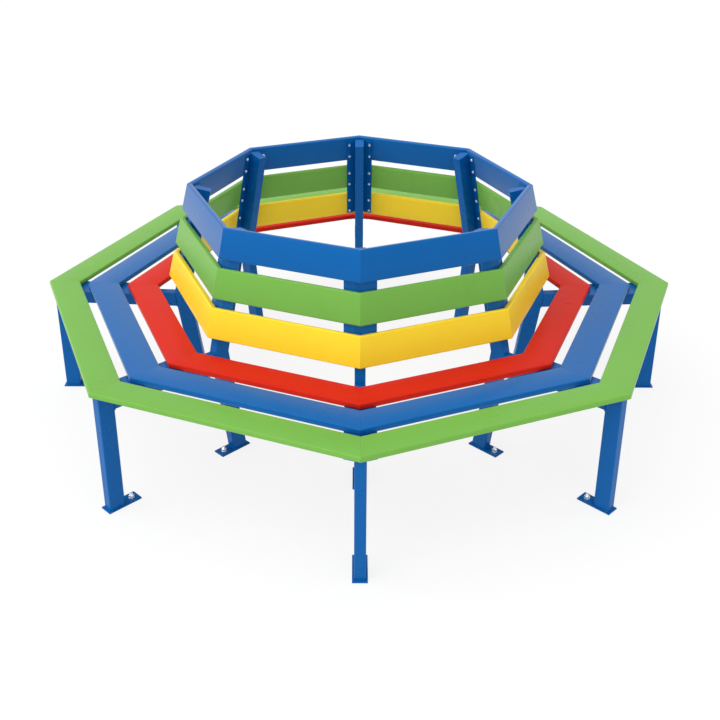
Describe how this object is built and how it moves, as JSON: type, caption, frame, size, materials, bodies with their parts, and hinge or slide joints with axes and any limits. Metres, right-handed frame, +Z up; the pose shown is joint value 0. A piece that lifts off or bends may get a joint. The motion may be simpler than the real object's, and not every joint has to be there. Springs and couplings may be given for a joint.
{
  "type": "tree bench",
  "caption": "Octagonal bench that stands round a tree trunk, with slatted seat rings, a leaning slatted backrest and bolted-down steel frames.",
  "frame": {"origin": "on the ground, on the axis of the tree trunk, in the middle of the octagon", "axes": "+Z up; -Y points to the corner of the octagon that faces the viewer; frame_1 stands there and the numbers run anticlockwise seen from above"},
  "size_m": [2.4012, 2.4012, 0.8571],
  "materials": {
    "frame_paint": "semi-gloss",
    "green_board": "satin",
    "blue_board": "satin",
    "red_board": "satin",
    "yellow_board": "satin"
  },
  "bodies": {
    "root": {"frame_1": "frame_paint", "frame_2": "frame_paint", "frame_3": "frame_paint", "frame_4": "frame_paint", "frame_5": "frame_paint", "frame_6": "frame_paint", "frame_7": "frame_paint", "frame_8": "frame_paint", "seat_outer_board_1": "green_board", "seat_outer_board_2": "green_board", "seat_outer_board_3": "green_board", "seat_outer_board_4": "green_board", "seat_outer_board_5": "green_board", "seat_outer_board_6": "green_board", "seat_outer_board_7": "green_board", "seat_outer_board_8": "green_board", "seat_middle_board_1": "blue_board", "seat_middle_board_2": "blue_board", "seat_middle_board_3": "blue_board", "seat_middle_board_4": "blue_board", "seat_middle_board_5": "blue_board", "seat_middle_board_6": "blue_board", "seat_middle_board_7": "blue_board", "seat_middle_board_8": "blue_board", "seat_inner_board_1": "red_board", "seat_inner_board_2": "red_board", "seat_inner_board_3": "red_board", "seat_inner_board_4": "red_board", "seat_inner_board_5": "red_board", "seat_inner_board_6": "red_board", "seat_inner_board_7": "red_board", "seat_inner_board_8": "red_board", "back_lower_board_1": "yellow_board", "back_lower_board_2": "yellow_board", "back_lower_board_3": "yellow_board", "back_lower_board_4": "yellow_board", "back_lower_board_5": "yellow_board", "back_lower_board_6": "yellow_board", "back_lower_board_7": "yellow_board", "back_lower_board_8": "yellow_board", "back_middle_board_1": "green_board", "back_middle_board_2": "green_board", "back_middle_board_3": "green_board", "back_middle_board_4": "green_board", "back_middle_board_5": "green_board", "back_middle_board_6": "green_board", "back_middle_board_7": "green_board", "back_middle_board_8": "green_board", "back_top_board_1": "blue_board", "back_top_board_2": "blue_board", "back_top_board_3": "blue_board", "back_top_board_4": "blue_board", "back_top_board_5": "blue_board", "back_top_board_6": "blue_board", "back_top_board_7": "blue_board", "back_top_board_8": "blue_board"}
  },
  "joints": []
}
